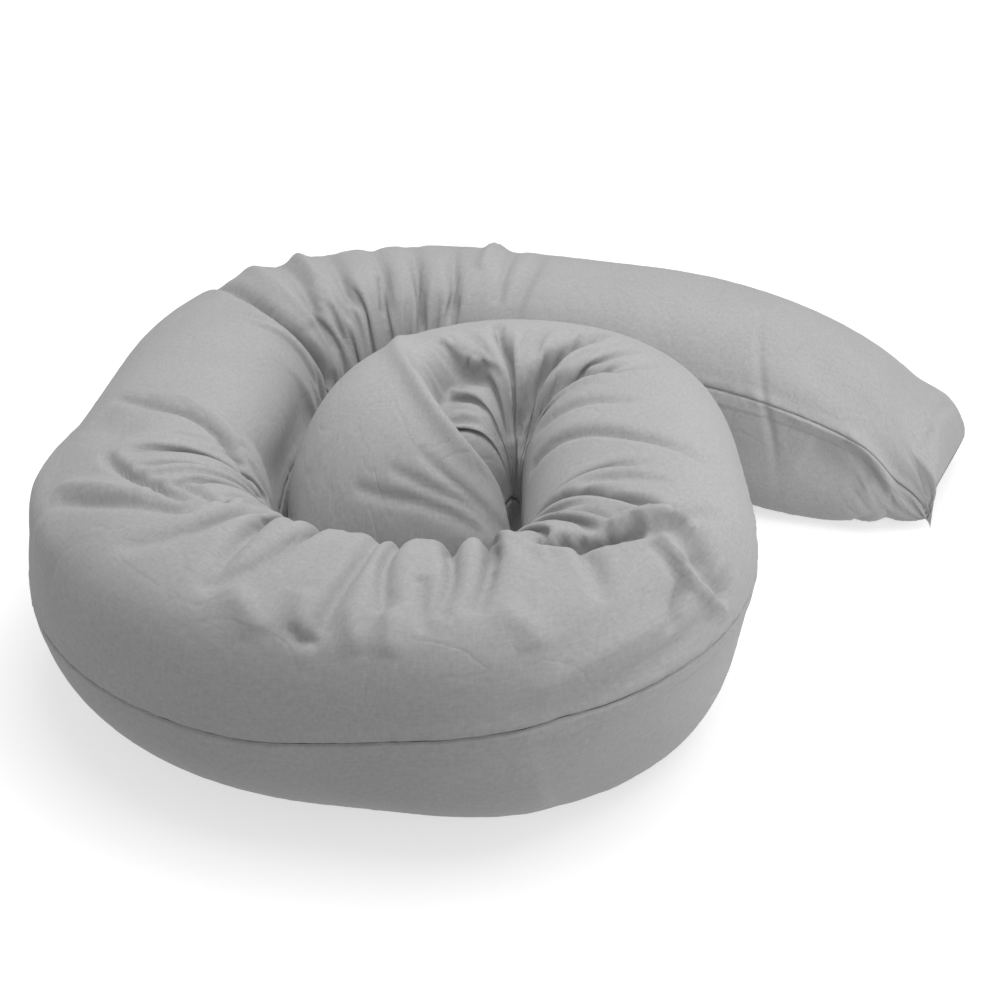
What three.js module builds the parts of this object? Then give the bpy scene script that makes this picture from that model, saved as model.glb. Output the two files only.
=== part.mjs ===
// A long stuffed body pillow in a plain pillowcase, laid down as a coiled nest: the inner end
// is folded into the middle and the outer end runs out as an arm.
// Millimetres, +Z up. The origin is on the floor, under the middle of the pillow's box.
import * as THREE from 'three';

// The pillow, as it lies
const pillowLength = 2740;       // along the centre line, from the mouth to the sewn outer end
const tubeWidth = 242;           // across the filled tube
const tubeHeight = 250;          // the filled tube before the floor flattens its underside
const foldWidth = 232;           // the inner fold is squeezed narrower and taller
const foldHeight = 270;
const easeFrom = 50;             // past the fold, the tube eases back to its own size
const easeRun = 350;
const underside = 10;            // how much of the height the floor flattens
const roundness = 2.3;           // 2 is an ellipse, more is squarer
const endRun = 190;              // length over which the mouth end closes
const armEndRun = 400;           // the arm's end holds less filling and closes more slowly
const endEdge = 1.6;             // half the thickness of a closed end

// The coil, seen from above, with the middle of the inner fold at 0, 0
const foldGap = 4;               // half the gap between the two legs of the inner fold
const lieGap = 6;                // between one turn and the next where they lie together
const tipGap = 44;               // between the inner end and the front tube
const innerLeg = 170;            // from the mouth to the inner fold
const rightBend = 52;            // the inside radius of each bend
const leftBend = 120;
const backBend = 120;
const frontSkew = 85;            // the front tube's left end lies this much further back
const leftLean = 70;             // the left tube's back end lies this much further right
const armHeading = -18;          // degrees, 0 runs straight out to the right

// Fabric and seams
const caseWall = 1.0;
const caseEase = 2.0;            // between the pillowcase and the inner casing
const tickingWall = 0.8;
const fillEase = 1.6;            // between the inner casing and the fibre
const seamGap = 0.3;             // between two panels at their seam line
const allowance = 17;            // width of a seam allowance, round the section
const layGap = 0.4;              // between a wall and what is sewn flat against it
const sewnThickness = 0.8;
const tickingSewnThickness = 0.5;
const labelThickness = 0.5;
const mouthHem = 40;
const tuckFlap = 150;
const tickingShort = 20;         // the inner casing stops this far inside each end of the case
const fillShort = 10;            // the fibre stops this far inside each end of the inner casing
const endAllowance = 15;
const endStitch = 4;             // from the end to what is sewn or tucked in there
const labelWidth = 40;
const labelFromEnd = 100;
const labelTurns = [22.5, 45];   // degrees up from the outer side seam

// Steps of the facets
const bendStep = 18;             // degrees
const straightStep = 78;
const sectionStep = 22.5;        // degrees
const endSteps = [10, 60, 100, 145];
const minStep = 15;

const sin = (degrees) => Math.sin(THREE.MathUtils.degToRad(degrees));
const cos = (degrees) => Math.cos(THREE.MathUtils.degToRad(degrees));

// ---- The centre line: corners joined by round bends, ending in the straight arm

const foldRadius = foldWidth / 2 + foldGap;

function coilCorners() {
  const turnToTurn = foldRadius + foldWidth / 2 + tubeWidth / 2 + lieGap;
  const frontY = -innerLeg - tipGap - tubeWidth / 2;
  const backX = -turnToTurn + 0.6 * leftLean;
  const backY = (turnToTurn + backX * sin(armHeading)) / cos(armHeading);
  return [
    { x: -foldRadius, y: foldRadius, bend: foldRadius },
    { x: foldRadius, y: foldRadius, bend: foldRadius },
    { x: foldRadius, y: frontY - 0.4 * frontSkew, bend: foldWidth / 2 + rightBend },
    { x: -turnToTurn - 0.4 * leftLean, y: frontY + 0.6 * frontSkew, bend: tubeWidth / 2 + leftBend },
    { x: backX, y: backY, bend: tubeWidth / 2 + backBend },
  ];
}

// Straights and bends in turn, each with its start and its start direction in degrees.
function coilPieces() {
  const corners = coilCorners();
  const pieces = [];
  let at = new THREE.Vector2(corners[0].x, -innerLeg);
  let heading = 90;
  let from = 0;
  const add = (length, turn) => {
    pieces.push({ at: at.clone(), heading, from, length, turn });
    at = pointOn(pieces.at(-1), length).at;
    heading += turn;
    from += length;
  };
  corners.forEach((corner, i) => {
    const next = corners[i + 1];
    const dx = next ? next.x - corner.x : cos(armHeading);
    const dy = next ? next.y - corner.y : sin(armHeading);
    const nextHeading = THREE.MathUtils.radToDeg(Math.atan2(dy, dx));
    const turn = -THREE.MathUtils.euclideanModulo(heading - nextHeading, 360);
    const cut = corner.bend * Math.tan(THREE.MathUtils.degToRad(-turn / 2));
    const straight = at.distanceTo(new THREE.Vector2(corner.x, corner.y)) - cut;
    if (straight > seamGap) add(straight, 0);
    add(corner.bend * THREE.MathUtils.degToRad(-turn), turn);
  });
  add(pillowLength - from, 0);
  return pieces;
}

function pointOn(piece, along) {
  const turned = piece.turn * along / piece.length;
  const heading = piece.heading + turned;
  if (piece.turn === 0) {
    const step = new THREE.Vector2(cos(heading), sin(heading)).multiplyScalar(along);
    return { at: piece.at.clone().add(step), heading };
  }
  const radius = piece.length / THREE.MathUtils.degToRad(piece.turn);
  const step = new THREE.Vector2(
    sin(heading) - sin(piece.heading), cos(piece.heading) - cos(heading)).multiplyScalar(radius);
  return { at: piece.at.clone().add(step), heading };
}

const pieces = coilPieces();

function centreAt(along) {
  const piece = pieces.findLast((p) => p.from <= along) ?? pieces[0];
  return pointOn(piece, along - piece.from);
}

// Where the facets break: the ends of every bend, even steps inside them, and the sewn details.
function breakStations() {
  const marks = [];
  for (const piece of pieces) {
    const steps = Math.max(Math.abs(piece.turn) / bendStep, piece.length / straightStep);
    const count = Math.ceil(steps - 0.01);
    for (let k = 0; k < count; k += 1) marks.push(piece.from + piece.length * k / count);
  }
  const ends = [0, endStitch, tickingShort, tickingShort + fillShort, ...endSteps];
  const kept = [...ends, mouthHem, tuckFlap, labelFrom, labelFrom + labelWidth,
    pillowLength - endAllowance, ...ends.map((d) => pillowLength - d)];
  const clear = marks.filter((m) => kept.every((k) => Math.abs(k - m) > minStep));
  return [...new Set([...clear, ...kept])].sort((a, b) => a - b);
}

const labelFrom = pillowLength - labelFromEnd - labelWidth;
const stations = breakStations();

// ---- The section: a rounded tube that closes towards each end and lies flat on the floor

function closing(along, short, full) {
  const fromEnd = Math.min(along, pillowLength - along) - short;
  const run = along < pillowLength / 2 ? endRun : armEndRun;
  const t = THREE.MathUtils.clamp(fromEnd / run, 0, 1);
  return endEdge + (full - endEdge) * Math.sqrt(1 - (1 - t) ** 2);
}

// Degrees round the section: 0 is the coil's outer side, 90 the top, 180 the inner side.
const sewnTurn = THREE.MathUtils.radToDeg(2 * allowance / tubeHeight);
const bottomTurns = [-180, -180 + sewnTurn];
for (let a = -180 + sectionStep; a < -sectionStep / 2; a += sectionStep) bottomTurns.push(a);
bottomTurns.push(-sewnTurn, 0);
const topTurns = [];
for (let a = 0; a <= 180; a += sectionStep) topTurns.push(a);

// The inner fold is squeezed; past it the tube eases back to its own width and height.
function tubeAt(along) {
  const foldEnd = innerLeg + Math.PI * foldRadius;
  const ease = THREE.MathUtils.smoothstep(along, foldEnd + easeFrom, foldEnd + easeFrom + easeRun);
  return {
    halfWidth: THREE.MathUtils.lerp(foldWidth, tubeWidth, ease) / 2,
    halfHeight: THREE.MathUtils.lerp(foldHeight, tubeHeight, ease) / 2,
  };
}

function skinPoint(along, turn, inset, short, lift) {
  const { at, heading } = centreAt(along);
  const { halfWidth, halfHeight } = tubeAt(along);
  const centre = closing(along, 0, halfHeight) * (1 - underside / halfHeight);
  const high = short > 0 ? closing(along, short, halfHeight - inset)
    : closing(along, 0, halfHeight) - inset;
  const power = 2 / roundness;
  const across = (halfWidth - inset) * Math.sign(cos(turn)) * Math.abs(cos(turn)) ** power;
  const up = high * Math.sign(sin(turn)) * Math.abs(sin(turn)) ** power;
  const z = Math.max(centre + up, inset) + lift;
  return new THREE.Vector3(at.x - sin(heading) * across, at.y + cos(heading) * across, z);
}

// ---- Solids

function solid(points, faces) {
  const geometry = new THREE.BufferGeometry();
  geometry.setAttribute('position',
    new THREE.Float32BufferAttribute(points.flatMap((p) => p.toArray()), 3));
  let volume = 0;
  for (const [a, b, c] of faces) {
    volume += points[a].dot(points[b].clone().cross(points[c]));
  }
  geometry.setIndex(faces.flatMap(([a, b, c]) => (volume > 0 ? [a, b, c] : [a, c, b])));
  geometry.computeVertexNormals();
  return geometry;
}

// A piece of cloth: two skins over the same stations and turns, closed round its four edges.
function cloth(spans, turns, outside, thickness, { short = 0, lift = 0 } = {}) {
  const rows = spans.length;
  const columns = turns.length;
  const points = [];
  for (const inset of [outside, outside + thickness]) {
    for (const along of spans) {
      for (const turn of turns) points.push(skinPoint(along, turn, inset, short, lift));
    }
  }
  const id = (layer, i, j) => (layer * rows + i) * columns + j;
  const faces = [];
  const quad = (a, b, c, d) => faces.push([a, b, c], [a, c, d]);
  for (let i = 0; i + 1 < rows; i += 1) {
    for (let j = 0; j + 1 < columns; j += 1) {
      quad(id(0, i, j), id(0, i + 1, j), id(0, i + 1, j + 1), id(0, i, j + 1));
      quad(id(1, i, j), id(1, i, j + 1), id(1, i + 1, j + 1), id(1, i + 1, j));
    }
    quad(id(0, i, 0), id(1, i, 0), id(1, i + 1, 0), id(0, i + 1, 0));
    const j = columns - 1;
    quad(id(0, i, j), id(0, i + 1, j), id(1, i + 1, j), id(1, i, j));
  }
  for (let j = 0; j + 1 < columns; j += 1) {
    quad(id(0, 0, j), id(0, 0, j + 1), id(1, 0, j + 1), id(1, 0, j));
    const i = rows - 1;
    quad(id(0, i, j), id(1, i, j), id(1, i, j + 1), id(0, i, j + 1));
  }
  return solid(points, faces);
}

// The stuffing: one skin all round the section, closed by a flat cap at each end.
function stuffing(spans, turns, inset, short) {
  const points = [];
  for (const along of spans) {
    for (const turn of turns) points.push(skinPoint(along, turn, inset, short, 0));
  }
  const columns = turns.length;
  const faces = [];
  for (let i = 0; i + 1 < spans.length; i += 1) {
    for (let j = 0; j < columns; j += 1) {
      const k = (j + 1) % columns;
      const a = i * columns;
      const b = a + columns;
      faces.push([a + j, b + j, b + k], [a + j, b + k, a + k]);
    }
  }
  const last = (spans.length - 1) * columns;
  for (let j = 1; j + 1 < columns; j += 1) {
    faces.push([0, j, j + 1], [last, last + j + 1, last + j]);
  }
  return solid(points, faces);
}

const stationsBetween = (start, end) => stations.filter((s) => s >= start && s <= end);
const insideEnds = (short) => stationsBetween(short, pillowLength - short);

const caseCloth = { color: 0xb2b2b2, roughness: 0.85, metalness: 0 };
const ticking = { color: 0xe9e8e4, roughness: 0.9, metalness: 0 };
const fibre = { color: 0xf6f5f1, roughness: 1, metalness: 0 };
const tape = { color: 0xf2f2f0, roughness: 0.7, metalness: 0 };

const pillow = new THREE.Group();

function addPiece(name, geometry, finish) {
  const mesh = new THREE.Mesh(geometry, new THREE.MeshStandardMaterial(finish));
  mesh.name = name;
  pillow.add(mesh);
  return mesh;
}

// ---- Pillowcase: two panels sewn along both sides and across the outer end

const wholeCase = insideEnds(0);
addPiece('case_upper_panel',
  cloth(wholeCase, topTurns, 0, caseWall, { lift: seamGap }), caseCloth);
addPiece('case_lower_panel', cloth(wholeCase, bottomTurns, 0, caseWall), caseCloth);

// What is sewn inside the case lies flat on its panels, in the ease left round the casing.
const onCase = caseWall + layGap;
const sides = stationsBetween(mouthHem, pillowLength - endAllowance);
const outerSide = [-sewnTurn, -sewnTurn / 8];
const innerSide = outerSide.map((turn) => -180 - turn).reverse();
addPiece('case_outer_seam_allowance', cloth(sides, outerSide, onCase, sewnThickness), caseCloth);
addPiece('case_inner_seam_allowance', cloth(sides, innerSide, onCase, sewnThickness), caseCloth);
const lowerInside = bottomTurns.slice(2, -2);
addPiece('case_end_seam_allowance',
  cloth(stationsBetween(pillowLength - endAllowance, pillowLength - endStitch), lowerInside,
    onCase, sewnThickness), caseCloth);

// The mouth: a hem on the lower panel, and a flap on the upper one that tucks over the pillow.
addPiece('case_mouth_hem',
  cloth(stationsBetween(endStitch, mouthHem), lowerInside, onCase, sewnThickness), caseCloth);
addPiece('case_tuck_in_flap',
  cloth(stationsBetween(endStitch, tuckFlap), topTurns.slice(1, -1), onCase, sewnThickness,
    { lift: seamGap }), caseCloth);
addPiece('care_label',
  cloth(stationsBetween(labelFrom, labelFrom + labelWidth), labelTurns, onCase, labelThickness,
    { lift: seamGap }), tape);

// ---- Inner pillow: a casing of two panels, its seam allowances inside, round the fibre

const tickingOut = caseWall + caseEase;
const wholeTicking = insideEnds(tickingShort);
const shortTicking = { short: tickingShort };
addPiece('ticking_upper_panel',
  cloth(wholeTicking, topTurns, tickingOut, tickingWall, { short: tickingShort, lift: seamGap }),
  ticking);
addPiece('ticking_lower_panel',
  cloth(wholeTicking, bottomTurns, tickingOut, tickingWall, shortTicking), ticking);
const onTicking = tickingOut + tickingWall + layGap;
const tickingSides = insideEnds(tickingShort + fillShort);
addPiece('ticking_outer_seam_allowance',
  cloth(tickingSides, outerSide, onTicking, tickingSewnThickness, shortTicking), ticking);
addPiece('ticking_inner_seam_allowance',
  cloth(tickingSides, innerSide, onTicking, tickingSewnThickness, shortTicking), ticking);
const fillTurns = [...bottomTurns, ...topTurns.slice(1, -1)];
addPiece('fibre_fill',
  stuffing(tickingSides, fillTurns, tickingOut + tickingWall + fillEase, tickingShort), fibre);

// ---- The origin goes to the floor under the middle of the pillow
const box = new THREE.Box3().setFromObject(pillow);
const middle = box.getCenter(new THREE.Vector3());
pillow.children.forEach((mesh) => mesh.geometry.translate(-middle.x, -middle.y, -box.min.z));

export default pillow;
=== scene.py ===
"""A long body pillow in a plain polycotton case, coiled into a nest with one free arm."""
import math

import bpy
import numpy as np
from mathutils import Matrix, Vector


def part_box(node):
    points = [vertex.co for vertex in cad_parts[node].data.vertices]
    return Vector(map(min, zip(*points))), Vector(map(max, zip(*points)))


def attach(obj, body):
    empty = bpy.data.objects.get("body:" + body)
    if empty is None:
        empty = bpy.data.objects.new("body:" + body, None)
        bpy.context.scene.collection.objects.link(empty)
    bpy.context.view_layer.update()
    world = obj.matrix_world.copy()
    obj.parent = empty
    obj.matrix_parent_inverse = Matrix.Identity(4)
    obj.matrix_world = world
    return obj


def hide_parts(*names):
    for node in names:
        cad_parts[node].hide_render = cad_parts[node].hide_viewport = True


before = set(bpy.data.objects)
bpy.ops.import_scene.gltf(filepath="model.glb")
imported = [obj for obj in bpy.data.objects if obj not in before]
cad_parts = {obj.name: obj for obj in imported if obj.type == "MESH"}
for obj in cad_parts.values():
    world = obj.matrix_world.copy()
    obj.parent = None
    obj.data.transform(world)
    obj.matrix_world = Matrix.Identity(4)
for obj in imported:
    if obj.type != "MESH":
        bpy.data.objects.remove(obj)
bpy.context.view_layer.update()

# ---- Camera
# A standing person's view down on the nest, from its front, with a lens long enough that the
# near and the far turns keep almost the same scale.
camera_elevation = math.radians(29)
camera_distance = 1.86
camera_aim = Vector((-0.0567, 0.0110, 0.090))
camera = bpy.data.objects.new("camera", bpy.data.cameras.new("camera"))
camera.data.lens = 60.77
camera.data.sensor_width = 36
camera.location = camera_aim + camera_distance * Vector(
    (0, -math.cos(camera_elevation), math.sin(camera_elevation)))
camera.rotation_euler = (math.pi / 2 - camera_elevation, 0, 0)
bpy.context.collection.objects.link(camera)
bpy.context.scene.camera = camera

# ---- The stuffed tube
# The pillow is one soft tube, bent by hand into a coil. This is the shape that its filling
# gives it: a rounded section that closes towards each end, carried along straights and bends.
mm = 0.001
pillow_length = 2740 * mm
tube_width, tube_height = 242 * mm, 250 * mm
fold_width, fold_height = 232 * mm, 270 * mm
ease_from, ease_run = 50 * mm, 350 * mm    # past the inner fold, back to the tube's own size
underside = 10 * mm                        # how much of the height the floor flattens
roundness = 2.3                            # 2 is an ellipse, more is squarer
end_run, arm_end_run = 190 * mm, 400 * mm  # the arm's end holds less filling
end_edge = 1.2 * mm
section_points, length_points = 1441, 6000    # fine enough to measure the tube's curves by
rough_rows, rough_columns = 300, 96            # fine enough to find its box by

fold_gap, lie_gap, tip_gap = 4 * mm, 6 * mm, 44 * mm
inner_leg = 170 * mm
right_bend, left_bend, back_bend = 52 * mm, 120 * mm, 120 * mm
front_skew, left_lean = 85 * mm, 70 * mm
first_share = 0.4                          # of a skew or lean, taken up at its first corner
shortest_straight = 0.3 * mm
arm_heading = math.radians(-18)
fold_radius = fold_width / 2 + fold_gap


def coil_pieces():
    """Straights and bends in turn: start, length, turn, start point and start heading."""
    turn_to_turn = fold_radius + fold_width / 2 + tube_width / 2 + lie_gap
    front_y = -inner_leg - tip_gap - tube_width / 2
    back_x = -turn_to_turn + (1 - first_share) * left_lean
    back_y = (turn_to_turn + back_x * math.sin(arm_heading)) / math.cos(arm_heading)
    corners = [
        (-fold_radius, fold_radius, fold_radius),
        (fold_radius, fold_radius, fold_radius),
        (fold_radius, front_y - first_share * front_skew, fold_width / 2 + right_bend),
        (-turn_to_turn - first_share * left_lean, front_y + (1 - first_share) * front_skew,
         tube_width / 2 + left_bend),
        (back_x, back_y, tube_width / 2 + back_bend),
    ]
    made = []
    at, heading, start = np.array([-fold_radius, -inner_leg]), math.pi / 2, 0.0
    for i, (x, y, radius) in enumerate(corners):
        if i + 1 < len(corners):
            new_heading = math.atan2(corners[i + 1][1] - y, corners[i + 1][0] - x)
        else:
            new_heading = arm_heading
        turn = -((heading - new_heading) % (2 * math.pi))
        straight = math.hypot(x - at[0], y - at[1]) - radius * math.tan(-turn / 2)
        if straight > shortest_straight:
            made.append((start, straight, 0, at, heading))
            at = at + straight * np.array([math.cos(heading), math.sin(heading)])
            start += straight
        made.append((start, -turn * radius, turn, at, heading))
        chord = np.array([math.sin(heading) - math.sin(heading + turn),
                          math.cos(heading + turn) - math.cos(heading)])
        at = at + radius * chord
        heading += turn
        start += -turn * radius
    made.append((start, pillow_length - start, 0, at, heading))
    return made


def centre_line(along):
    """Place, heading and curvature of the tube's centre line at each distance along it."""
    x, y, heading, curve = (np.zeros(len(along)) for _ in range(4))
    for start, length, turn, at, first in coil_pieces():
        here = along >= start
        step = along[here] - start
        now = first + turn * step / length
        heading[here] = now
        curve[here] = abs(turn) / length
        if turn:
            radius = length / turn
            x[here] = at[0] + radius * (np.sin(now) - math.sin(first))
            y[here] = at[1] + radius * (math.cos(first) - np.cos(now))
        else:
            x[here] = at[0] + step * math.cos(first)
            y[here] = at[1] + step * math.sin(first)
    return x, y, heading, curve


def smooth_step(low, high, value):
    t = np.clip((value - low) / (high - low), 0, 1)
    return t * t * (3 - 2 * t)


def half_height(along):
    """Half the tube's height with its closed ends and without them, and how far, from 0 to 1,
    the inner fold's section has eased into the tube's own."""
    fold_end = inner_leg + math.pi * fold_radius
    ease = smooth_step(fold_end + ease_from, fold_end + ease_from + ease_run, along)
    full = (fold_height + (tube_height - fold_height) * ease) / 2
    t = np.minimum(along / end_run, (pillow_length - along) / arm_end_run).clip(0, 1)
    return end_edge + (full - end_edge) * np.sqrt(1 - (1 - t) ** 2), full, ease


# The case's side seams twist a little round the tube: degrees up from the coil's outer side.
seam_twist_along = np.array([0, 500, 850, 930, 1000, 1130, 1900, 2400, 2634, 2690, 2740]) * mm
seam_twist = np.radians([0, 8, 16, 14, 8, 0, 0, -20, -19, -2, 0])

# The arm's flat end stands off the floor. It folds down to the floor in an upright edge at its
# near corner, which lies further back along the arm than the far one.
end_shaped, end_lifted, upright_edge, far_corner_down = 130 * mm, 70 * mm, 56 * mm, 30 * mm
near_corner_in, near_corner_back = 34 * mm, 20 * mm


def smooth_tube(along, columns):
    """The tube's skin as a grid: one row for each distance along, columns from the seam round."""
    x, y, heading, curve = centre_line(along)
    high, full, ease = half_height(along)
    wide = (fold_width + (tube_width - fold_width) * ease) / 2
    centre = high * (1 - underside / full)
    fine = np.linspace(0, 2 * np.pi, section_points)
    across = np.sign(np.cos(fine)) * np.abs(np.cos(fine)) ** (2 / roundness)
    up = np.sign(np.sin(fine)) * np.abs(np.sin(fine)) ** (2 / roundness)
    twist = np.interp(along, seam_twist_along, seam_twist)
    skin = np.zeros((len(along), columns, 3))
    degrees = np.zeros((len(along), columns))
    for i in range(len(along)):
        a = across * wide[i]
        z = np.maximum(centre[i] + up * high[i], 0)
        arc = np.concatenate([[0], np.cumsum(np.hypot(np.diff(a), np.diff(z)))])
        start = np.interp(twist[i] % (2 * np.pi), fine, arc)
        at = (start + np.arange(columns) / columns * arc[-1]) % arc[-1]
        a, z = np.interp(at, arc, a), np.interp(at, arc, z)
        degrees[i] = np.degrees(np.interp(at, arc, fine))
        near_end = smooth_step(pillow_length - end_shaped, pillow_length, along[i])
        from_corner = a + wide[i]
        past_edge = np.clip(from_corner - upright_edge, 0, None) / (2 * wide[i] - upright_edge)
        laid_back = -wide[i] + near_corner_in + past_edge * (2 * wide[i] - near_corner_in)
        lifted = smooth_step(pillow_length - end_lifted, pillow_length, along[i])
        upright = np.clip(from_corner - high[i], 0, upright_edge)
        z = z + lifted * (upright - far_corner_down * past_edge ** 2)
        a = a + near_end * (laid_back - a)
        reach = -near_end * near_corner_back * (1 - past_edge) ** 1.5
        skin[i, :, 0] = x[i] - math.sin(heading[i]) * a + math.cos(heading[i]) * reach
        skin[i, :, 1] = y[i] + math.cos(heading[i]) * a + math.sin(heading[i]) * reach
        skin[i, :, 2] = z
    return skin, degrees, curve, wide


def grid_normals(skin):
    """The direction straight out of the skin at each point of its grid."""
    lengthways = np.gradient(skin, axis=0)
    round_it = np.roll(skin, -1, 1) - np.roll(skin, 1, 1)
    normal = np.cross(lengthways, round_it)
    normal /= np.linalg.norm(normal, axis=2, keepdims=True) + 1e-12
    top = skin.shape[1] // 4    # the columns start on the outer side and go up
    if normal[len(skin) // 2, top, 2] < 0:
        normal = -normal
    return normal


def even_rows(count):
    """Distances along the tube, closer together where the skin turns in to an end."""
    along = np.linspace(0, pillow_length, length_points)
    high = half_height(along)[0]
    run = np.concatenate([[0], np.cumsum(np.hypot(np.diff(along), np.diff(high)))])
    return np.interp(np.linspace(0, run[-1], count), run, along)


# The CAD model's origin is under the middle of its box, and the coil above is drawn round its
# fold, so the whole coil moves over by the difference.
plain = smooth_tube(even_rows(rough_rows), rough_columns)[0]
low_corner = np.min([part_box(n)[0] for n in ("case_upper_panel", "case_lower_panel")], axis=0)
fold_centre = low_corner[:2] - plain[..., :2].reshape(-1, 2).min(axis=0)

# ---- Folds pressed and pulled into the cloth by hand
# Bending the pillow leaves more cloth than the inner side of each bend needs, and packing has
# pressed creases into it. The largest folds are laid here, and the draping finds the fine ones.

# Height and width in mm, then points as mm along the pillow and degrees round it, 0 on the
# coil's outer side and 90 on top. A height below nought is a valley.
folds = [
    # inner end: a ridge down to its tip, sunk behind it, and folds that gather at the tip
    (15, 12, [(266, 62), (202, 88), (138, 101), (108, 117), (100, 136), (98, 164)]),
    (-58, 30, [(290, 104), (226, 112), (166, 126), (140, 146), (124, 190)]),
    (6, 40, [(225, 4), (150, 8), (92, 30)]),
    (-16, 40, [(1480, 160), (1580, 172), (1700, 166)]),
    (-9, 7, [(66, 70), (58, 86), (54, 106), (48, 136)]),
    (-8, 6, [(76, 86), (66, 100), (62, 122), (54, 152)]),
    (-7, 6, [(92, 96), (76, 110), (66, 134), (60, 160)]),
    # inner fold: one deep radial crease, and lighter ones beside it
    (-18, 12, [(392, 168), (408, 130), (430, 108), (448, 88)]),
    (-9, 10, [(350, 160), (344, 120), (336, 92)]),
    (-8, 10, [(296, 160), (290, 125), (270, 96)]),
    (-9, 9, [(450, 160), (470, 138), (498, 114), (542, 94)]),
    # right tube: creases straight across it
    (-11, 10, [(610, 158), (632, 130), (664, 104), (684, 88), (706, 64)]),
    (-10, 8, [(764, 150), (774, 128), (790, 104), (790, 86)]),
    (-6, 9, [(560, 150), (578, 120), (604, 92)]),
    (-7, 9, [(818, 92), (788, 73), (766, 54)]),
    # right bend: the cloth is bunched up over the inner side
    (26, 8, [(842, 90), (824, 84), (808, 76), (804, 68), (812, 58)]),
    (-26, 8, [(905, 100), (872, 90), (846, 84), (832, 80)]),
    (15, 7, [(826, 74), (830, 58), (830, 42), (814, 24)]),
    (-24, 13, [(806, 64), (812, 48), (811, 30)]),
    (-15, 7, [(834, 74), (840, 52), (850, 45), (862, 34)]),
    (-6, 6, [(792, 40), (806, 34), (820, 25)]),
    # front: pillowy pleats from the inner side up over the rim, each ending in a soft puff
    (-12, 11, [(1212, 165), (1204, 120), (1190, 92), (1178, 60)]),
    (-11, 10, [(1140, 165), (1138, 110), (1156, 78), (1182, 58)]),
    (-13, 10, [(1074, 165), (1074, 100), (1082, 68), (1088, 46)]),
    (-17, 10, [(1052, 165), (1052, 110), (1050, 86), (1038, 60)]),
    (-12, 10, [(996, 165), (998, 110), (990, 84), (1000, 60)]),
    (-12, 10, [(948, 165), (950, 104), (966, 76), (976, 62)]),
    (-8, 8, [(1014, 82), (1010, 66), (1004, 52)]),
    (-7, 6, [(1112, 50), (1104, 45), (1086, 44)]),
    (-8, 10, [(880, 92), (886, 78), (896, 58)]),
    (7, 14, [(1160, 62), (1140, 52), (1128, 44)]),
    (7, 13, [(1112, 66), (1106, 56), (1100, 46)]),
    (7, 12, [(1066, 62), (1060, 50), (1056, 42)]),
    (7, 12, [(1036, 62), (1030, 52), (1030, 42)]),
    (6, 14, [(960, 64), (946, 54), (942, 44)]),
    (-7, 10, [(940, 14), (900, 24), (850, 29), (820, 31)]),
    (5, 12, [(950, 26), (905, 37), (862, 42)]),
    # left bend: sharp creases that fan out from the inner side
    (-12, 8, [(1532, 66), (1492, 90), (1484, 104), (1444, 134), (1408, 148), (1330, 156)]),
    (6, 12, [(1520, 84), (1510, 104), (1470, 134)]),
    (-12, 7, [(1402, 76), (1384, 80), (1338, 88), (1282, 96)]),
    (-9, 6, [(1322, 98), (1290, 104), (1250, 108)]),
    (-9, 9, [(1362, 50), (1330, 66), (1298, 82), (1258, 92)]),
    (7, 11, [(1384, 52), (1350, 70), (1310, 86)]),
    (-7, 22, [(1490, 58), (1454, 76), (1430, 84)]),
    (-8, 11, [(1262, 60), (1236, 84), (1228, 120)]),
    # back bend: the tube kinks in one deep crease, and the cloth gathers after it
    (-26, 11, [(1842, 50), (1820, 80), (1790, 106), (1778, 126), (1782, 148), (1796, 168)]),
    (11, 18, [(1886, 46), (1866, 76), (1836, 106), (1820, 134)]),
    (-9, 11, [(1914, 58), (1894, 88), (1868, 122), (1842, 150)]),
    (11, 12, [(1936, 50), (1922, 78), (1904, 106)]),
    (-8, 11, [(1966, 60), (1950, 90), (1928, 130)]),
    (-6, 12, [(2012, 50), (2004, 92), (1996, 140)]),
    (-7, 12, [(2050, 60), (2052, 100), (2062, 150)]),
    (-6, 9, [(2096, 66), (2104, 100), (2124, 146)]),
    (11, 10, [(2142, 58), (2140, 80), (2146, 104)]),
    (-7, 9, [(2164, 60), (2172, 90), (2180, 130)]),
    (-6, 10, [(2206, 70), (2210, 106), (2204, 150)]),
    # arm: a pressed crease straight across it, soft dents, and the folds of its slack end
    (-4, 5, [(2488, 96), (2498, 122), (2511, 150), (2524, 168), (2536, 184), (2556, 232)]),
    (-7, 34, [(2545, 112), (2600, 126), (2650, 136)]),
    (4, 8, [(2500, 159), (2562, 162), (2602, 162), (2634, 161)]),
    (11, 9, [(2612, 158), (2636, 162), (2658, 171), (2684, 186)]),
    (-8, 24, [(2570, 178), (2610, 182), (2646, 188)]),
    (-8, 9, [(2580, 236), (2630, 226), (2680, 206)]),
    (-7, 9, [(2700, 120), (2716, 86), (2722, 56)]),
    (24, 40, [(2470, 216), (2530, 220), (2590, 222), (2680, 214)]),
    # the tube's own unevenness: square front shoulder, undercut front wall, sunk inner rim
    (9, 48, [(930, 44), (1060, 42), (1200, 42), (1360, 42)]),
    (10, 24, [(1520, 28), (1450, 31), (1390, 37), (1310, 40)]),
    (-20, 66, [(690, -8), (770, -6), (830, -6), (880, -12), (940, -22)]),
    (-10, 52, [(640, -26), (740, -34), (830, -38), (960, -44), (1150, -44), (1300, -38),
               (1440, -28)]),
    (-12, 42, [(1190, 142), (1060, 140), (940, 138)]),
]


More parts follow.
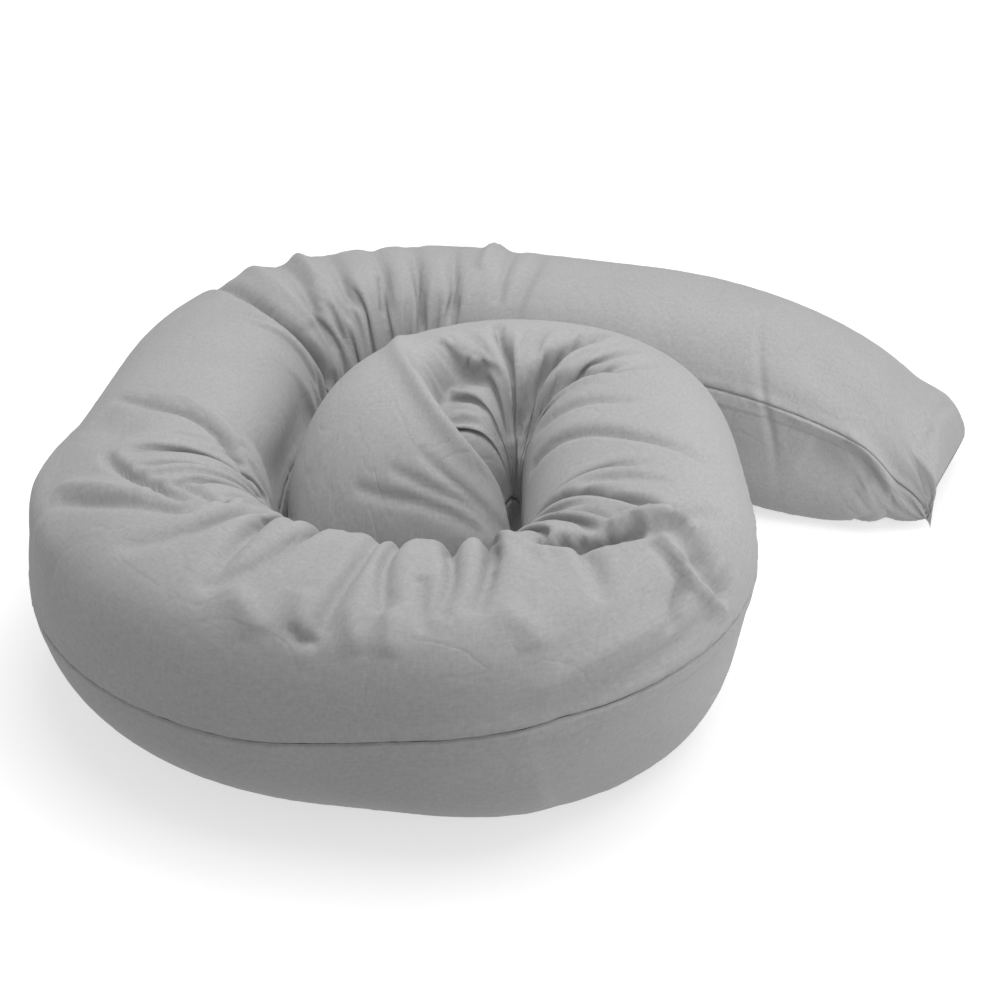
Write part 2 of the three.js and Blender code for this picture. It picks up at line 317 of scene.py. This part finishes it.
def cubic(points, at):
    """A smooth curve or surface through rows of points, read at fractional row numbers."""
    last = len(points) - 1
    row = np.clip(np.floor(at).astype(int), 0, last - 1)
    t = (at - row).reshape(-1, *([1] * (points.ndim - 1)))
    p0, p1, p2, p3 = (points[np.clip(row + k, 0, last)] for k in (-1, 0, 1, 2))
    return 0.5 * (2 * p1 + (p2 - p0) * t + (2 * p0 - 5 * p1 + 4 * p2 - p3) * t ** 2
                  + (3 * p1 - p0 - 3 * p2 + p3) * t ** 3)


# A fold narrower than this many mm is a crisp crease with a rise on each side, a wider one a swell.
widest_crease, side_rise = 19, 0.45
path_points, path_smoothings = 24, 6
fold_reach = 4         # times its width, where a fold has died out
left_at_end = 0.1      # of its height, where its path starts and ends
facing_alike = 0.2     # keeps a fold from showing on the far side of the tube


def smoothed(knots):
    """A path with the stair steps of the grid taken out of it."""
    for _ in range(path_smoothings):
        knots[1:-1] = (knots[:-2] + 2 * knots[1:-1] + knots[2:]) / 4
    return knots


def fold_heights(skin, normal, along, degrees):
    """How far the laid folds lift or sink each point of the skin."""
    lift = np.zeros(skin.shape[:2])
    for height, width, marks in folds:
        marks = np.array(marks, float)
        path = cubic(marks, np.linspace(0, len(marks) - 1, path_points))
        rows = np.interp(path[:, 0] * mm, along, np.arange(len(along)))
        near = np.round(rows).astype(int)
        columns = np.array([np.argmin(np.abs((degrees[i] - d + 180) % 360 - 180))
                            for i, d in zip(near, path[:, 1])])
        knots = smoothed(skin[near, columns])
        facing = normal[near, columns]
        row_gap = np.linalg.norm(np.diff(skin, axis=0), axis=2).mean()
        reach = int(fold_reach * width * mm / row_gap) + 4
        first, last = max(near.min() - reach, 0), near.max() + reach
        away = skin[first:last, :, None, :] - knots[:-1]
        run = np.diff(knots, axis=0)
        part = ((away * run).sum(axis=3) / (run ** 2).sum(axis=1)).clip(0, 1)
        square = ((away - part[..., None] * run) ** 2).sum(axis=3)
        closest = square.argmin(axis=2)
        across = np.sqrt(square.min(axis=2)) / (width * mm)
        share = (closest + np.take_along_axis(part, closest[..., None], 2)[..., 0]) / len(run)
        middle = np.sqrt(np.clip(4 * share * (1 - share), 0, 1))
        fade = middle * (1 - left_at_end) + left_at_end
        same_side = (normal[first:last] * facing[closest]).sum(axis=2) > facing_alike
        if width < widest_crease:
            profile = np.exp(-across ** 1.5) * (1 - side_rise * across ** 2)
        else:
            profile = np.exp(-across ** 2)
        lift[first:last] += np.where(same_side, height * mm * fade * profile, 0)
    return lift


# ---- The case's cloth, draped over the tube
# Plain-woven polycotton, cut flat and sewn to a straight tube, so it has to buckle on the inner
# side of a bend. A grid of threads is relaxed over the filling: they don't stretch, they resist
# bending and shear, and they can't pass through the floor or the next turn.
cloth_seed = np.random.default_rng(7)
deepest, floor_gap = -62 * mm, 0.5 * mm
least_room, most_room = 0.5 * mm, 24 * mm
turns_apart = 1 * mm                       # clear space left by each of two turns that touch
height_spare = 5 * mm                      # half a turn's height is taken as this much more
own_stretch = 400 * mm                     # cloth this near along the tube is on the same turn
route_marks = 160
inner_side, pivot_share = 0.3, 0.6         # the inner side of a bend can't reach its pivot
round_ease, round_give = 1.015, 0.985      # the case is cut wider than the tube, and may slacken
most_longer = 1.6                          # times a thread's length as it lies on the filling
round_pull, slant_pull, slide_kept = 0.8, 0.03, 0.998    # how firmly the weave holds its shape
# How much of a bend's spare length the cloth keeps, since it also slips along the filling.
spare_along = np.array([0, 200, 380, 550, 900, 1100, 1450, 1750, 2150, 2250]) * mm
spare_share = np.array([0.05, 0.1, 0.15, 0.3, 0.5, 0.4, 0.3, 0.08, 0.06, 0.03])
# Each grid's rows, columns and rounds, the filling's grip on it and its stiffness in bending.
drape_levels = [(240, 64, 220, 0.006, 0.05), (480, 128, 110, 0.004, 0.03),
                (920, 240, 36, 0.004, 0.015)]
first_slack, later_slack = 1.2 * mm, 0.35 * mm    # random unevenness that starts the wrinkles


def room_to_next_turn(skin, along, curve, wide, degrees):
    """How far each point of the skin may move out before it meets another part of the coil."""
    marks = np.linspace(0, pillow_length, route_marks)
    x, y, _, _ = centre_line(marks)
    x, y = x + fold_centre[0], y + fold_centre[1]
    points = skin.reshape(-1, 3)
    own = np.repeat(along, skin.shape[1])
    room = np.full(len(points), 200 * mm)
    half_wide, half_high = tube_width / 2, tube_height / 2 + height_spare
    for mark, cx, cy in zip(marks, x, y):
        far = np.abs(own - mark) > own_stretch
        reach = np.hypot(points[:, 0] - cx, points[:, 1] - cy) / half_wide
        level = np.abs(points[:, 2] - half_high) / half_high
        clear = ((reach ** roundness + level ** roundness) ** (1 / roundness) - 1) * half_wide
        room = np.where(far, np.minimum(room, clear), room)
    room = room.reshape(skin.shape[:2]) / 2 - turns_apart
    inward = np.clip(-np.cos(np.radians(degrees)), 0, 1)
    to_pivot = 1 / np.maximum(curve, 1e-3)[:, None] - wide[:, None]
    to_pivot = pivot_share * to_pivot / inward.clip(inner_side)
    room = np.where(inward > inner_side, np.minimum(room, to_pivot), room)
    return np.clip(room, least_room, most_room)


def drape(cloth, skin, normal, lift, room, along, curve, wide, rounds, grip, bend):
    """Relaxes the grid of threads in place for a number of rounds."""
    body = skin + normal * lift[..., None]
    long_now = np.linalg.norm(np.diff(body, axis=0), axis=2)
    tight = (0.5 * (curve[1:] + curve[:-1]) * 0.5 * (wide[1:] + wide[:-1]))[:, None]
    spare = np.interp(along[1:], spare_along, spare_share)[:, None]
    long_cut = np.minimum(np.diff(along)[:, None] * (1 + spare * tight), most_longer * long_now)
    long_most = np.maximum(long_now, long_cut)
    round_cut = np.linalg.norm(np.roll(body, -1, 1) - body, axis=2) * round_ease
    slant = np.hypot(long_cut, (round_cut[:-1] + round_cut[1:]) / 2)
    columns = cloth.shape[1]

    def pull(a, b, least, most, strength):
        """How far two joined points move to bring their distance between two lengths."""
        gap = b - a
        size = np.linalg.norm(gap, axis=-1) + 1e-9
        off = np.minimum(size - least, 0) + np.maximum(size - most, 0)
        return (strength * 0.5 * off / size)[..., None] * gap

    for _ in range(rounds):
        for odd in (0, 1):
            a, b = cloth[odd:-1:2], cloth[odd + 1::2]
            n = min(len(a), len(b))
            move = pull(a[:n], b[:n], long_cut[odd::2][:n], long_most[odd::2][:n], 1.0)
            a[:n] += move
            b[:n] -= move
        for odd in (0, 1):
            nexts = (np.arange(odd, columns, 2) + 1) % columns
            cut = round_cut[:, odd::2]
            move = pull(cloth[:, odd::2], cloth[:, nexts], round_give * cut, cut, round_pull)
            cloth[:, odd::2] += move
            cloth[:, nexts] -= move
        for way in (1, -1):
            gap = np.roll(cloth, -way, 1)[1:] - cloth[:-1]
            size = np.linalg.norm(gap, axis=2) + 1e-9
            move = (slant_pull * (size - slant) / size)[..., None] * gap
            cloth[:-1] += move
            back = np.zeros_like(cloth)
            back[1:] = move
            cloth -= np.roll(back, way, 1)
        off = 0.5 * (cloth[2:] + cloth[:-2]) - cloth[1:-1]
        cloth[1:-1] += bend * (off - (0.5 * (body[2:] + body[:-2]) - body[1:-1]))
        off = 0.5 * (np.roll(cloth, 1, 1) + np.roll(cloth, -1, 1)) - cloth
        rest = 0.5 * (np.roll(body, 1, 1) + np.roll(body, -1, 1)) - body
        cloth += bend * (off - rest)
        moved = cloth - skin
        out = (moved * normal).sum(axis=2)
        slid = moved - out[..., None] * normal
        out = lift + (out - lift) * (1 - grip)
        out = np.clip(out, deepest, room)
        cloth[:] = skin + normal * out[..., None] + slid * slide_kept
        cloth[..., 2] = np.maximum(cloth[..., 2], floor_gap)
        cloth[-1] = skin[-1]
        cloth[0] = skin[0] + 0.5 * (cloth[0] - skin[0])


def finer(values, rows, columns):
    """The same grid read at more rows and columns, smoothly."""
    tall = cubic(values, np.linspace(0, len(values) - 1, rows))
    wrapped = np.concatenate([tall[:, -2:], tall, tall[:, :3]], axis=1)
    at = np.arange(columns) / columns * values.shape[1] + 2
    return np.swapaxes(cubic(np.swapaxes(wrapped, 0, 1), at), 0, 1)


def drape_case():
    """Drapes the cloth on a coarse grid, then again on finer ones."""
    slack = None
    for rows, columns, rounds, grip, bend in drape_levels:
        along = even_rows(rows)
        skin, degrees, curve, wide = smooth_tube(along, columns)
        skin[..., :2] += fold_centre
        blur = rows // 60
        curve = np.convolve(np.pad(curve, blur, "edge"),
                            np.ones(2 * blur + 1) / (2 * blur + 1), "valid")
        normal = grid_normals(skin)
        lift = fold_heights(skin, normal, along, degrees)
        room = room_to_next_turn(skin, along, curve, wide, degrees)
        lift = np.clip(lift, deepest, room)
        if slack is None:
            noise = cloth_seed.normal(0, 1, (rows, columns))
            for _ in range(3):
                noise = (noise + np.roll(noise, 1, 1) + np.roll(noise, -1, 1)) / 3
            noise[1:-1] = (2 * noise[1:-1] + noise[2:] + noise[:-2]) / 4
            slack = first_slack * normal * noise[..., None]
        else:
            noise = cloth_seed.normal(0, later_slack, (rows, columns))
            slack = finer(slack, rows, columns) + normal * noise[..., None]
        cloth = skin + slack + normal * lift[..., None]
        drape(cloth, skin, normal, lift, room, along, curve, wide, rounds, grip, bend)
        slack = cloth - skin - normal * lift[..., None]
    return cloth, skin, normal, along


cloth, skin, normal, along = drape_case()

# ---- Case panels
# Two long panels of mid-grey polycotton, sewn together along both sides and across the arm's
# end. The seams are turned in, so each shows as a thin groove with the cloth puckered along it.
flat_round = 790 * mm                      # the filled tube's girth
allowance = 17 * mm
seam_sink, seam_width = 2.6 * mm, 1.5 * mm
pucker_high, pucker_reach = 0.6 * mm, 4 * mm
rolled_high, rolled_reach = 1.4 * mm, 6 * mm    # the upper panel rolls up beside the seam
step_high, step_run = 1.1 * mm, 1.0 * mm        # the turned-in edges show below it
seam_fade = 30 * mm                        # the groove dies out towards each end
seam_zone, solved_by_seams = 23.8 * mm, 24      # finer columns stand in for this many there
seam_columns = np.array([0, 0.9, 1.8, 3.0, 4.6, 7.4, 10.6, 13.6, 16.2, 17.8, 20.4]) * mm
panel_rows = 850


def hex_colour(text):
    """An sRGB hex colour as linear red, green, blue and alpha."""
    parts = [int(text[i:i + 2], 16) / 255 for i in (0, 2, 4)]
    return [c / 12.92 if c <= 0.04045 else ((c + 0.055) / 1.055) ** 2.4 for c in parts] + [1]


def node(tree, kind, settings=None, **inputs):
    """Adds a node; an input is a value, or a socket to link."""
    made = tree.nodes.new(kind)
    for name, value in (settings or {}).items():
        setattr(made, name, value)
    for name, value in inputs.items():
        key = int(name[1:]) if name[0] == "i" and name[1:].isdigit() else name.replace("_", " ")
        if isinstance(value, bpy.types.NodeSocket):
            tree.links.new(value, made.inputs[key])
        else:
            made.inputs[key].default_value = value
    return made


dye_patch, crease_gap = 71.4 * mm, 58.8 * mm
crease_deep, weave_deep = 0.8 * mm, 0.25 * mm


def woven_cloth(name, colour, thread, roughness, sheen, shade):
    """A matt plain weave. The real threads are under half a millimetre and too fine to show, so
    they are drawn `thread` apart; slubs and an unevenness of the dye give the mottled look."""
    material = bpy.data.materials.new(name)
    material.use_nodes = True
    tree = material.node_tree
    shader = tree.nodes["Principled BSDF"]
    place = node(tree, "ShaderNodeAttribute", {"attribute_name": "thread_place"}).outputs["Vector"]
    waves = []
    for way in ("X", "Y"):
        waves.append(node(
            tree, "ShaderNodeTexWave", {"bands_direction": way}, Vector=place,
            Scale=math.pi / 10 / thread, Distortion=1.2, Detail=1.0,
            Detail_Scale=2.0).outputs["Fac"])
    weave = node(tree, "ShaderNodeMath", {"operation": "MULTIPLY"}, i0=waves[0], i1=waves[1])
    long_place = node(tree, "ShaderNodeMapping", Vector=place, Scale=(1, 0.4, 1)).outputs[0]
    round_place = node(tree, "ShaderNodeMapping", Vector=place, Scale=(0.4, 1, 1)).outputs[0]
    slubs = [node(tree, "ShaderNodeTexNoise", Vector=p, Scale=0.5 / thread, Detail=2.0,
                  Roughness=0.6).outputs["Fac"] for p in (long_place, round_place)]
    slub = node(tree, "ShaderNodeMath", {"operation": "ADD"}, i0=slubs[0], i1=slubs[1])
    dye = node(tree, "ShaderNodeTexNoise", Vector=place, Scale=1 / dye_patch, Detail=3.0)
    mixed = node(tree, "ShaderNodeMath", {"operation": "MULTIPLY_ADD"},
                 i0=dye.outputs["Fac"], i1=0.5, i2=slub.outputs[0])
    light, dark = hex_colour(colour), hex_colour(shade)
    ramp = node(tree, "ShaderNodeMapRange", Value=mixed.outputs[0], i1=0.9, i2=1.6)
    tint = node(tree, "ShaderNodeMix", {"data_type": "RGBA"}, Factor=ramp.outputs[0])
    tint.inputs[6].default_value = dark
    tint.inputs[7].default_value = light
    tree.links.new(tint.outputs[2], shader.inputs["Base Color"])
    relief = node(tree, "ShaderNodeMath", {"operation": "MULTIPLY_ADD"},
                  i0=slub.outputs[0], i1=0.8, i2=weave.outputs[0])
    # Faint creases left by handling are thin lines where a slow noise crosses its middle.
    handled = node(tree, "ShaderNodeTexNoise", Vector=place, Scale=1 / crease_gap, Detail=2.0,
                   Roughness=0.45, Distortion=0.8)
    crossing = node(tree, "ShaderNodeMath", {"operation": "SUBTRACT"},
                    i0=handled.outputs["Fac"], i1=0.5)
    distance = node(tree, "ShaderNodeMath", {"operation": "ABSOLUTE"}, i0=crossing.outputs[0])
    crumple = node(tree, "ShaderNodeMapRange", {"interpolation_type": "SMOOTHSTEP"},
                   Value=distance.outputs[0], i1=0.0, i2=0.06)
    creased = node(tree, "ShaderNodeBump", Height=crumple.outputs[0], Strength=0.35,
                   Distance=crease_deep)
    bump = node(tree, "ShaderNodeBump", Height=relief.outputs[0], Strength=0.4,
                Distance=weave_deep, Normal=creased.outputs[0])
    tree.links.new(bump.outputs[0], shader.inputs["Normal"])
    shader.inputs["Roughness"].default_value = roughness
    shader.inputs["Specular IOR Level"].default_value = 0.25
    shader.inputs["Sheen Weight"].default_value = sheen
    shader.inputs["Sheen Roughness"].default_value = 0.5
    return material


def mesh_piece(name, points, faces, threads, material):
    """A mesh object that keeps the place of each point on the flat cloth. Its name gets _cloth
    added where a CAD node has the same name."""
    mesh = bpy.data.meshes.new(name)
    faces = faces if isinstance(faces, list) else faces.tolist()
    mesh.from_pydata(points.reshape(-1, 3).tolist(), [], faces)
    place = mesh.attributes.new("thread_place", "FLOAT_VECTOR", "POINT")
    place.data.foreach_set("vector", threads.reshape(-1).astype(np.float32))
    mesh.shade_smooth()
    mesh.materials.append(material)
    piece = bpy.data.objects.new(name + "_cloth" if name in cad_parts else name, mesh)
    bpy.context.collection.objects.link(piece)
    return piece


# Polycotton, woven plain and dyed mid grey: dry to the eye, with only a faint bloom of sheen.
case_cloth = woven_cloth("polycotton_plain_weave_grey", "ABABAB", 1.3 * mm, 0.88, 0.12, "9D9D9D")

rows, columns = cloth.shape[:2]
half = columns // 2
step = flat_round / columns
panel_span = half * step
inner_columns = np.linspace(seam_zone, panel_span - seam_zone, half - solved_by_seams)
panel_at = np.concatenate([seam_columns, inner_columns, (panel_span - seam_columns)[::-1]])


def panel_grid(values, first):
    """Reads the solved grid at the panel's finer rows and columns, from seam to seam."""
    tall = cubic(values, np.linspace(0, len(values) - 1, panel_rows))
    wrapped = np.concatenate([tall[:, -2:], tall, tall[:, :half + 3]], axis=1)
    return np.swapaxes(cubic(np.swapaxes(wrapped, 0, 1), first + panel_at / step + 2), 0, 1)


fine_along = np.interp(np.linspace(0, rows - 1, panel_rows), np.arange(rows), along)
seam_rand = cloth_seed.normal(0, 1, (2, 2, panel_rows))
for name, first, is_upper in (("case_upper", 0, True), ("case_lower", half, False)):
    points = panel_grid(cloth, first)
    out = panel_grid(normal, first)
    out /= np.linalg.norm(out, axis=2, keepdims=True)
    for side, from_seam in enumerate((panel_at, panel_span - panel_at)):
        x = from_seam[None, :]
        pucker = np.convolve(seam_rand[int(is_upper), side], [0.2, 0.6, 0.2], "same")[:, None]
        sink = -seam_sink * np.exp(-(x / seam_width) ** 2)
        near = np.exp(-((x - pucker_reach) / pucker_reach) ** 2)
        sink = sink + pucker_high * pucker * near
        if is_upper:
            sink = sink + rolled_high * np.exp(-((x - rolled_reach) / rolled_reach) ** 2)
        else:
            sink = sink + step_high * smooth_step(allowance + step_run, allowance - step_run, x)
        inside = smooth_step(0, seam_fade, np.minimum(fine_along, pillow_length - fine_along))
        points = points + out * (sink * inside[:, None])[..., None]
    points[..., 2] = np.maximum(points[..., 2], floor_gap)
    threads = np.zeros_like(points)
    threads[..., 0] = fine_along[:, None]
    threads[..., 1] = first * step + panel_at
    n, m = points.shape[:2]
    ids = np.arange(n * m).reshape(n, m)
    quads = np.stack([ids[:-1, :-1], ids[:-1, 1:], ids[1:, 1:], ids[1:, :-1]], -1)
    piece = mesh_piece(name, points, quads.reshape(-1, 4), threads, case_cloth)
    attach(piece, "root")
    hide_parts("case_upper_panel" if is_upper else "case_lower_panel")

# ---- The case's seam allowances
# Inside the case, the two cloth edges of each side seam and of the end seam, turned in together
# and stitched through. They lie close under the case and follow its deepest folds.
strip_start, strip_end = 40 * mm, pillow_length - 15 * mm
end_strip_end = pillow_length - 4 * mm
strip_deep, end_strip_deep = 3.2 * mm, 2.6 * mm
cloth_thick = 0.8 * mm
end_strip_clear = 36                       # columns left free at the end's near corner
near_points, room_share = 4, 0.3           # under the deepest cloth near it, and never too deep
deep_enough, floor_share = 4 * mm, 0.6     # a deeper piece stands further off the floor
thin_out, few_rows = 3, 12                 # every third point is kept, unless there are few
turned = int(round(allowance / step))
outward = ((cloth - skin) * normal).sum(axis=2)
deepest_near = outward.copy()
for shift in range(-near_points, near_points + 1):
    rolled = np.roll(outward, shift, 1)
    for slide in range(-near_points, near_points + 1):
        source = np.clip(np.arange(rows) + slide, 0, rows - 1)
        deepest_near = np.minimum(deepest_near, rolled[source])
end_room = room_share * half_height(along)[0][:, None]


def under(inset):
    """The surface that lies the given depth under the case, as a grid like the case's own."""
    depth = np.minimum(inset, end_room)
    points = skin + normal * (deepest_near - depth)[..., None]
    lowest = floor_gap + floor_share * np.minimum(inset, deep_enough)
    points[..., 2] = np.maximum(points[..., 2], lowest)
    return points


def laid_cloth(name, start, end, first, last, inset, thickness, material, slot):
    """A closed sheet of cloth between two distances along and two columns round."""
    here = np.flatnonzero((along >= start) & (along <= end))
    here = here[::thin_out] if len(here) > few_rows else here
    marks = max(abs(last - first) // thin_out, 2) + 1
    round_it = np.unique(np.linspace(first, last, marks).astype(int))
    grids = [under(d)[np.ix_(here, round_it % columns)] for d in (inset, inset + thickness)]
    n, m = grids[0].shape[:2]
    ids = np.arange(n * m).reshape(n, m)
    rim = np.concatenate([ids[0, :-1], ids[:-1, -1], ids[-1, :0:-1], ids[:0:-1, 0]])
    quads = np.stack([ids[:-1, :-1], ids[1:, :-1], ids[1:, 1:], ids[:-1, 1:]], -1).reshape(-1, 4)
    edge = np.stack([rim, np.roll(rim, -1), np.roll(rim, -1) + n * m, rim + n * m], -1)
    faces = np.concatenate([quads[:, ::-1], quads + n * m, edge])
    threads = np.zeros((2, n, m, 3))
    threads[..., 0] = along[here][:, None]
    threads[..., 1] = round_it * step
    piece = mesh_piece(name, np.stack(grids), faces[:, ::-1], threads, material)
    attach(piece, "root")
    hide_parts(name)
    return piece


outer_allowance = laid_cloth("case_outer_seam_allowance", strip_start, strip_end,
                             columns - turned, columns, strip_deep, cloth_thick,
                             case_cloth, "case_cloth")
inner_allowance = laid_cloth("case_inner_seam_allowance", strip_start, strip_end,
                             half, half + turned, strip_deep, cloth_thick,
                             case_cloth, "case_cloth")
end_allowance = laid_cloth("case_end_seam_allowance", strip_end, end_strip_end,
                           half + turned + end_strip_clear, columns - turned - 2,
                           end_strip_deep, cloth_thick, case_cloth, "case_cloth")

# ---- The case's mouth
# The case opens at the inner end, which lies hidden in the nest. The mouth has a hem of the
# same polycotton on its lower side, and a flap on its upper side that tucks in over the pillow.
hem_start, hem_end, hem_deep = 8 * mm, 40 * mm, 3.0 * mm
flap_start, flap_end, flap_deep = 4 * mm, 150 * mm, 2.0 * mm
hem = laid_cloth("case_mouth_hem", hem_start, hem_end, half + turned + 4, columns - turned - 4,
                 hem_deep, cloth_thick, case_cloth, "case_cloth")
flap = laid_cloth("case_tuck_in_flap", flap_start, flap_end, 3, half - 3, flap_deep, cloth_thick,
                  case_cloth, "case_cloth")

# ---- Care label
# A short blank tape of woven polyester satin, sewn inside the case near the arm's end. Satin's
# long floats give it more shine than the case.
label_start, label_end, label_deep, tape_thick = 2600 * mm, 2640 * mm, 2.0 * mm, 0.5 * mm
label_from, label_to = 13, 25              # columns up from the outer seam
label_tape = woven_cloth("satin_label_tape_white", "F4F4F2", 0.9 * mm, 0.55, 0.0, "EDEDEA")
label = laid_cloth("care_label", label_start, label_end, label_from, label_to, label_deep,
                   tape_thick, label_tape, "label_tape")

# ---- Inner casing
# The bag that holds the fibre: two panels of close-woven white cotton ticking, stitched along
# both sides with the seams turned in. It stops short of the slack end of the arm.
casing = [20 * mm, pillow_length - 60 * mm]
stitched = [30 * mm, pillow_length - 70 * mm]
ticking_deep, ticking_seam_deep, ticking_seam_thick = 5.0 * mm, 6.2 * mm, 0.5 * mm
# Cotton ticking: a closer, drier cloth than the case, in undyed off-white.
ticking_cloth = woven_cloth("cotton_ticking_off_white", "ECEBE6", 1.2 * mm, 0.9, 0.1, "DEDCD4")
ticking_upper = laid_cloth("ticking_upper_panel", *casing, 0, half, ticking_deep, cloth_thick,
                           ticking_cloth, "ticking_cloth")
ticking_lower = laid_cloth("ticking_lower_panel", *casing, half, columns, ticking_deep,
                           cloth_thick, ticking_cloth, "ticking_cloth")
ticking_outer = laid_cloth("ticking_outer_seam_allowance", *stitched, columns - turned, columns,
                           ticking_seam_deep, ticking_seam_thick, ticking_cloth,
                           "ticking_cloth")
ticking_inner = laid_cloth("ticking_inner_seam_allowance", *stitched, half, half + turned,
                           ticking_seam_deep, ticking_seam_thick, ticking_cloth,
                           "ticking_cloth")

# ---- Fibre fill
# Loose hollow polyester fibre, blown into the ticking: one soft white mass with no skin. It
# scatters light deep between its tufts, so it has no gloss, only a soft sheen.
fill_deep, clump, tuft_deep = 7.4 * mm, 11.1 * mm, 2.0 * mm
fibre = bpy.data.materials.new("hollow_polyester_fibre")
fibre.use_nodes = True
fibre_shader = fibre.node_tree.nodes["Principled BSDF"]
clumps = node(fibre.node_tree, "ShaderNodeTexNoise", Scale=1 / clump, Detail=4.0, Roughness=0.7,
              Vector=node(fibre.node_tree, "ShaderNodeTexCoord").outputs["Object"])
fibre_tint = node(fibre.node_tree, "ShaderNodeMix", {"data_type": "RGBA"},
                  Factor=clumps.outputs["Fac"])
fibre_tint.inputs[6].default_value = hex_colour("E9E7E1")
fibre_tint.inputs[7].default_value = hex_colour("FAF9F6")
fibre.node_tree.links.new(fibre_tint.outputs[2], fibre_shader.inputs["Base Color"])
tufts = node(fibre.node_tree, "ShaderNodeBump", Height=clumps.outputs["Fac"], Strength=0.8,
             Distance=tuft_deep)
fibre.node_tree.links.new(tufts.outputs[0], fibre_shader.inputs["Normal"])
fibre_shader.inputs["Roughness"].default_value = 1.0
fibre_shader.inputs["Sheen Weight"].default_value = 0.3
filled = np.flatnonzero((along >= stitched[0]) & (along <= stitched[1]))[::thin_out]
fill_points = under(fill_deep)[np.ix_(filled, np.arange(0, columns, thin_out))]
n, m = fill_points.shape[:2]
ids = np.arange(n * m).reshape(n, m)
ids = np.concatenate([ids, ids[:, :1]], axis=1)
quads = np.stack([ids[:-1, :-1], ids[1:, :-1], ids[1:, 1:], ids[:-1, 1:]], -1).reshape(-1, 4)
caps = [ids[0, :-1].tolist(), ids[-1, -2::-1].tolist()]
fill = mesh_piece("fibre_fill", fill_points, quads.tolist() + caps, np.zeros((n, m, 3)), fibre)
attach(fill, "root")
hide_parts("fibre_fill")

# ---- Floor and light
# A plain pale floor in matt paint, a soft white sky and four soft lamps: one overhead, one
# over the nest, and two low ones at the front right that light the walls of the tube.
floor_half = 60
floor_corners = [(-floor_half, -floor_half, 0), (floor_half, -floor_half, 0),
                 (floor_half, floor_half, 0), (-floor_half, floor_half, 0)]
floor_mesh = bpy.data.meshes.new("floor")
floor_mesh.from_pydata(floor_corners, [], [(0, 1, 2, 3)])
floor = bpy.data.objects.new("floor", floor_mesh)
bpy.context.collection.objects.link(floor)
paint = bpy.data.materials.new("matt_white_floor_paint")
paint.use_nodes = True
paint_shader = paint.node_tree.nodes["Principled BSDF"]
paint_shader.inputs["Base Color"].default_value = hex_colour("CCCCCC")
paint_shader.inputs["Roughness"].default_value = 0.9
paint_shader.inputs["Specular IOR Level"].default_value = 0.1
paint_shader.inputs["Emission Color"].default_value = (1, 1, 1, 1)
paint_shader.inputs["Emission Strength"].default_value = 0.55
floor_mesh.materials.append(paint)
floor.visible_diffuse = False

sky = bpy.data.worlds.new("soft_white_sky")
sky.use_nodes = True
sky.node_tree.nodes["Background"].inputs["Color"].default_value = (1, 1, 1, 1)
sky.node_tree.nodes["Background"].inputs["Strength"].default_value = 0.5
bpy.context.scene.world = sky


def lamp(name, kind, watts, place, aim, spread):
    """A soft lamp at a place, turned to its aim; spread is its size, or a sun's angle."""
    made = bpy.data.objects.new(name, bpy.data.lights.new(name, kind))
    made.data.energy = watts
    if kind == "SUN":
        made.data.angle = spread
    else:
        made.data.size = spread
    made.location = place
    made.rotation_euler = (Vector(place) - Vector(aim)).to_track_quat("Z", "Y").to_euler()
    bpy.context.collection.objects.link(made)
    return made


lamp("overhead_light", "SUN", 1.27, (0.3, 0.2, 1.0), (0, 0, 0), math.radians(50))
lamp("nest_light", "AREA", 2.7, (-0.05, 0.00, 1.00), (0.00, 0.10, 0.10), 0.6)
lamp("side_light", "AREA", 5.4, (1.30, -0.85, 0.25), (0.25, -0.20, 0.08), 0.8)
arm_light = lamp("arm_light", "AREA", 0.6, (0.85, -1.15, 0.30), (0.42, 0.05, 0.08), 0.5)
arm_light.data.spread = math.radians(60)
bpy.context.scene.view_settings.view_transform = "Standard"
